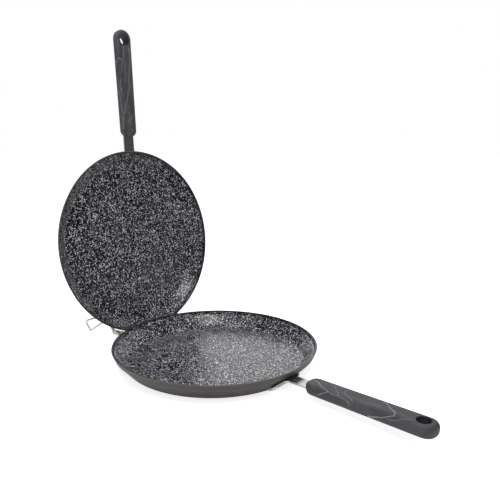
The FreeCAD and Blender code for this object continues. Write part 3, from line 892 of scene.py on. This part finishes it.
class FLIPPAN_OT_pans(bpy.types.Operator):
    """Turn both pans as smooth surfaces, coated inside and sprayed outside"""

    bl_idname = "flip_pan.pans"
    bl_label = "Build Pans"

    def execute(self, context):
        shape = context.scene.flip_pan_shape
        profile, owner = rounded_profile(*pan_profile(shape))
        # The profile's two ends lie on the axis and close the mesh, so its rows leave them out
        rows, heights = owner[1:-1], profile[1:-1, 1]
        past_rim = np.arange(len(rows)) >= np.flatnonzero(rows == INNER_RIM)[0]
        inside = np.repeat(np.append(past_rim[:-1], [False, True]), shape.around)
        # Painted highlight outside: full on the band's foot, and less on the rim past the start of
        # its rounding. Painted shade inside:
        # few flecks on the rim's inner edge and the upper part of the lip
        rim = rows == OUTER_RIM
        rim[np.flatnonzero(rim)[:2]] = False
        lip_share = (shape.rim_height - heights) / shape.lip_depth
        bare_painted_shade = np.interp(lip_share, [0.125, 0.75], [1, 0])
        edge = np.select([past_rim, rows == BAND_FOOT, rim], [bare_painted_shade, 1.0, 0.4], 0.0)
        edge = np.append(np.repeat(edge, shape.around), [0, 0])
        for half in HALVES:
            pan = revolved(half + "_pan_turned", profile, shape.around, half)
            pan.data.materials.append(sprayed_outside(half))
            pan.data.materials.append(speckled_non_stick(half))
            pan.data.polygons.foreach_set("material_index", inside.astype(np.int32))
            attribute = pan.data.attributes.new("edge", "FLOAT", "POINT")
            attribute.data.foreach_set("value", edge.astype(np.float32))
            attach(pan, half + "_half")
            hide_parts(half + "_pan")
        return {"FINISHED"}


def disc_profile(shape):
    """Corners of the base disc's profile in metres: its grooved face from the axis outwards, its
    edge, and its hidden face back to the axis. Each groove has two upright sides."""
    pitch = (shape.disc_radius - shape.disc_margin) / shape.disc_grooves
    small = shape.groove_depth / 4
    corners = [(0, 0, 0)]
    for ring in range(1, shape.disc_grooves + 1):
        inner = ring * pitch - shape.groove_width / 2
        outer = ring * pitch + shape.groove_width / 2
        corners += [
            (inner, 0, small),
            (inner, shape.groove_depth, small),
            (outer, shape.groove_depth, small),
            (outer, 0, small),
        ]
    corners += [
        (shape.disc_radius, 0, small),
        (shape.disc_radius, shape.base_level, small),
        (0, shape.base_level, 0),
    ]
    return [c[:2] for c in corners], [c[2] for c in corners]


class FLIPPAN_OT_base_discs(bpy.types.Operator):
    """Turn the steel discs under the pans, with their rings and their lathe finish"""

    bl_idname = "flip_pan.base_discs"
    bl_label = "Turn Base Discs"

    def execute(self, context):
        shape = context.scene.flip_pan_shape
        profile, _ = rounded_profile(*disc_profile(shape), arc_steps=3)
        for half in HALVES:
            disc = revolved(half + "_disc_turned", profile, shape.around, half)
            disc.data.materials.append(turned_steel(half))
            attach(disc, half + "_half")
            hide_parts(half + "_base_disc")
        return {"FINISHED"}


class FLIPPAN_OT_brackets(bpy.types.Operator):
    """Give the handle brackets and the hinge lugs their polished steel"""

    bl_idname = "flip_pan.brackets"
    bl_label = "Finish Brackets and Lugs"

    def execute(self, context):
        for half in HALVES:
            pieces = ("_handle_bracket", "_hinge_lug_left", "_hinge_lug_right")
            dress([half + piece for piece in pieces], polished_steel(half))
        return {"FINISHED"}


class FLIPPAN_OT_grips(bpy.types.Operator):
    """Give the grips their marbled soft-touch finish"""

    bl_idname = "flip_pan.grips"
    bl_label = "Finish Grips"

    def execute(self, context):
        for half in HALVES:
            dress([half + "_grip"], marbled_grip(half))
        return {"FINISHED"}


class FLIPPAN_OT_fasteners(bpy.types.Operator):
    """Give rivets, screws, nuts, washers and clips their metals"""

    bl_idname = "flip_pan.fasteners"
    bl_label = "Finish Fasteners"

    def execute(self, context):
        for half in HALVES:
            dress([half + "_bracket_rivets", half + "_hinge_rivets"], drawn_wire(half + "_rivets"))
            dress([half + "_grip_screw", half + "_grip_nut"], zinc_plate(half))
        dress(["hinge_washers", "pin_clips"], zinc_plate("hinge"))
        return {"FINISHED"}


class FLIPPAN_OT_wire_stand(bpy.types.Operator):
    """Give the wire stand its bright drawn finish"""

    bl_idname = "flip_pan.wire_stand"
    bl_label = "Finish Wire Stand"

    def execute(self, context):
        dress(["wire_stand"], drawn_wire("stand"))
        return {"FINISHED"}


def aim(thing, place, towards):
    """Puts a lamp at a place in metres, with its front towards a point."""
    thing.location = place
    thing.rotation_euler = (Vector(towards) - Vector(place)).to_track_quat("-Z", "Y").to_euler()


def soft_lamp(name, place, towards, size, watts):
    """An area lamp with sides in metres."""
    lamp = bpy.data.lights.new(name, "AREA")
    lamp.shape = "RECTANGLE"
    lamp.size, lamp.size_y = size
    lamp.energy = watts
    thing = bpy.data.objects.new(name, lamp)
    bpy.context.scene.collection.objects.link(thing)
    aim(thing, place, towards)


class FLIPPAN_OT_stage(bpy.types.Operator):
    """Lay the floor, light the pan softly and set the camera"""

    bl_idname = "flip_pan.stage"
    bl_label = "Set Stage"

    def execute(self, context):
        scene, stage = context.scene, context.scene.flip_pan_stage
        reach = 9.0
        mesh = bpy.data.meshes.new("floor")
        mesh.from_pydata(
            [(-reach, -reach, 0), (reach, -reach, 0), (reach, reach, 0), (-reach, reach, 0)],
            [],
            [(0, 1, 2, 3)],
        )
        floor = bpy.data.objects.new("floor", mesh)
        scene.collection.objects.link(floor)
        floor.data.materials.append(pale_floor(stage))
        white_room(stage)
        soft_lamp("key", (0.58, -0.32, 1.6), (-0.1, 0, 0.1), (0.46, 0.32), stage.key)
        soft_lamp("top", (-0.28, -0.3, 1.6), (0, 0, 0), (0.9, 0.7), stage.top)
        soft_lamp("fill", (0.9, -1.5, 0.9), (0, 0, 0.1), (1.2, 0.8), stage.fill)
        soft_lamp("back", (-1.3, 1.5, 0.75), (0, 0, 0.1), (2.4, 1.2), stage.back)
        camera = bpy.data.cameras.new("camera")
        camera.sensor_width = 36
        camera.lens = stage.lens
        camera.clip_start, camera.clip_end = 0.01, 60
        thing = bpy.data.objects.new("camera", camera)
        scene.collection.objects.link(thing)
        # Solved from the photo: the picture's right and up, and the way that the camera looks
        right = Vector((0.72319, 0.69061, 0.00697))
        up = Vector((-0.14305, 0.13992, 0.97978))
        forward = Vector((-0.67567, 0.70956, -0.19998))
        turn = Matrix((right, up, -forward)).transposed()
        place = Vector((494.82, -456.05, 281.52)) * MM
        thing.matrix_world = Matrix.Translation(place) @ turn.to_4x4()
        scene.camera = thing
        scene.view_settings.view_transform = "Standard"
        return {"FINISHED"}


def pale_floor(stage):
    """Matte paper backdrop: pale and even, with only a soft shadow under the object. Camera
    rays see it lighter, so that it meets the white background without a line, and reflections
    a little lighter."""
    material, tree, output = new_material("matte_paper_floor")
    place = add_node(tree, "ShaderNodeTexCoord").outputs["Object"]
    fibre = add_node(tree, "ShaderNodeTexNoise", inputs={"Vector": place, "Scale": 1 / (2 * MM)})
    tone = add_node(
        tree, "ShaderNodeMapRange", inputs={"Value": fibre, "To Min": 0.99, "To Max": 1.0}
    )
    skin = add_node(
        tree,
        "ShaderNodeVectorMath",
        {"operation": "SCALE"},
        {0: tuple(stage.floor), "Scale": tone},
    )
    paper = add_node(tree, "ShaderNodeBsdfDiffuse", inputs={"Color": skin})
    path = add_node(tree, "ShaderNodeLightPath")
    lift = add_node(
        tree,
        "ShaderNodeMath",
        {"operation": "MULTIPLY"},
        {0: path.outputs["Is Glossy Ray"], 1: 0.35},
    )
    strength = add_node(
        tree,
        "ShaderNodeMath",
        {"operation": "MULTIPLY_ADD"},
        {0: path.outputs["Is Camera Ray"], 1: 0.72, 2: lift},
    )
    glow = add_node(
        tree, "ShaderNodeEmission", inputs={"Color": (1, 1, 1), "Strength": strength}
    )
    both = add_node(tree, "ShaderNodeAddShader", inputs={0: paper, 1: glow})
    tree.links.new(both.outputs[0], output.inputs[0])
    return material


def white_room(stage):
    """A pale room. Camera and transmission rays see it white, and it lights the object evenly
    at the sky strength. Reflections see it bright behind the object, dimmer elsewhere, and dark
    at the right, where a black card keeps the open pan's coating dark."""
    world = bpy.data.worlds.new("pale_room")
    bpy.context.scene.world = world
    world.use_nodes = True
    tree = world.node_tree
    tree.nodes.clear()
    path = add_node(tree, "ShaderNodeLightPath")
    straight = add_node(
        tree,
        "ShaderNodeMath",
        {"operation": "MAXIMUM"},
        {0: path.outputs["Is Camera Ray"], 1: path.outputs["Is Transmission Ray"]},
    )
    place = add_node(tree, "ShaderNodeTexCoord").outputs["Generated"]
    behind = add_node(
        tree,
        "ShaderNodeVectorMath",
        {"operation": "DOT_PRODUCT"},
        {0: place, 1: (-0.6896, 0.7242, 0.0)},
    )
    side = add_node(
        tree,
        "ShaderNodeMapRange",
        {"interpolation_type": "SMOOTHSTEP"},
        {
            "Value": behind.outputs["Value"],
            "From Min": 0.3,
            "From Max": 0.85,
            "To Min": 0.35,
            "To Max": 0.9,
        },
    )
    beside = add_node(
        tree,
        "ShaderNodeVectorMath",
        {"operation": "DOT_PRODUCT"},
        {0: place, 1: (0.767, 0.64, 0.05)},
    )
    card = add_node(
        tree,
        "ShaderNodeMapRange",
        {"interpolation_type": "SMOOTHSTEP"},
        {
            "Value": beside.outputs["Value"],
            "From Min": 0.4,
            "From Max": 0.85,
            "To Min": 1.0,
            "To Max": 0.2,
        },
    )
    dimmed = add_node(tree, "ShaderNodeMath", {"operation": "MULTIPLY"}, {0: side, 1: card})
    glossy = add_node(
        tree,
        "ShaderNodeMath",
        {"operation": "MULTIPLY"},
        {0: path.outputs["Is Glossy Ray"], 1: dimmed},
    )
    not_glossy = add_node(
        tree,
        "ShaderNodeMath",
        {"operation": "SUBTRACT"},
        {0: 1.0, 1: path.outputs["Is Glossy Ray"]},
    )
    indirect = add_node(
        tree,
        "ShaderNodeMath",
        {"operation": "MULTIPLY_ADD"},
        {0: not_glossy, 1: stage.sky, 2: glossy},
    )
    strength = add_node(
        tree, "ShaderNodeMath", {"operation": "MAXIMUM"}, {0: straight, 1: indirect}
    )
    back = add_node(
        tree, "ShaderNodeBackground", inputs={"Color": (1, 1, 1), "Strength": strength}
    )
    output = add_node(tree, "ShaderNodeOutputWorld")
    tree.links.new(back.outputs[0], output.inputs[0])


class VIEW3D_PT_flip_pan(bpy.types.Panel):
    """Sizes, colours and steps of the flip pan"""

    bl_label = "Flip Pan"
    bl_idname = "VIEW3D_PT_flip_pan"
    bl_space_type = "VIEW_3D"
    bl_region_type = "UI"
    bl_category = "Flip Pan"

    def draw(self, context):
        for group in ("flip_pan_shape", "flip_pan_finish", "flip_pan_stage"):
            settings = getattr(context.scene, group)
            column = self.layout.column(align=True)
            for name in settings.__annotations__:
                column.prop(settings, name)
        for operator in OPERATORS:
            self.layout.operator(operator.bl_idname)


GROUPS = (FlipPanShape, FlipPanFinish, FlipPanStage)
OPERATORS = (
    FLIPPAN_OT_pans,
    FLIPPAN_OT_base_discs,
    FLIPPAN_OT_brackets,
    FLIPPAN_OT_grips,
    FLIPPAN_OT_fasteners,
    FLIPPAN_OT_wire_stand,
    FLIPPAN_OT_stage,
)


def register():
    for cls in GROUPS + OPERATORS + (VIEW3D_PT_flip_pan,):
        bpy.utils.register_class(cls)
    bpy.types.Scene.flip_pan_shape = PointerProperty(type=FlipPanShape)
    bpy.types.Scene.flip_pan_finish = PointerProperty(type=FlipPanFinish)
    bpy.types.Scene.flip_pan_stage = PointerProperty(type=FlipPanStage)


def unregister():
    del bpy.types.Scene.flip_pan_stage
    del bpy.types.Scene.flip_pan_finish
    del bpy.types.Scene.flip_pan_shape
    for cls in reversed(GROUPS + OPERATORS + (VIEW3D_PT_flip_pan,)):
        bpy.utils.unregister_class(cls)


def main():
    register()
    bpy.ops.flip_pan.pans()
    bpy.ops.flip_pan.base_discs()
    bpy.ops.flip_pan.brackets()
    bpy.ops.flip_pan.grips()
    bpy.ops.flip_pan.fasteners()
    bpy.ops.flip_pan.wire_stand()
    bpy.ops.flip_pan.stage()


if __name__ == "__main__":
    main()
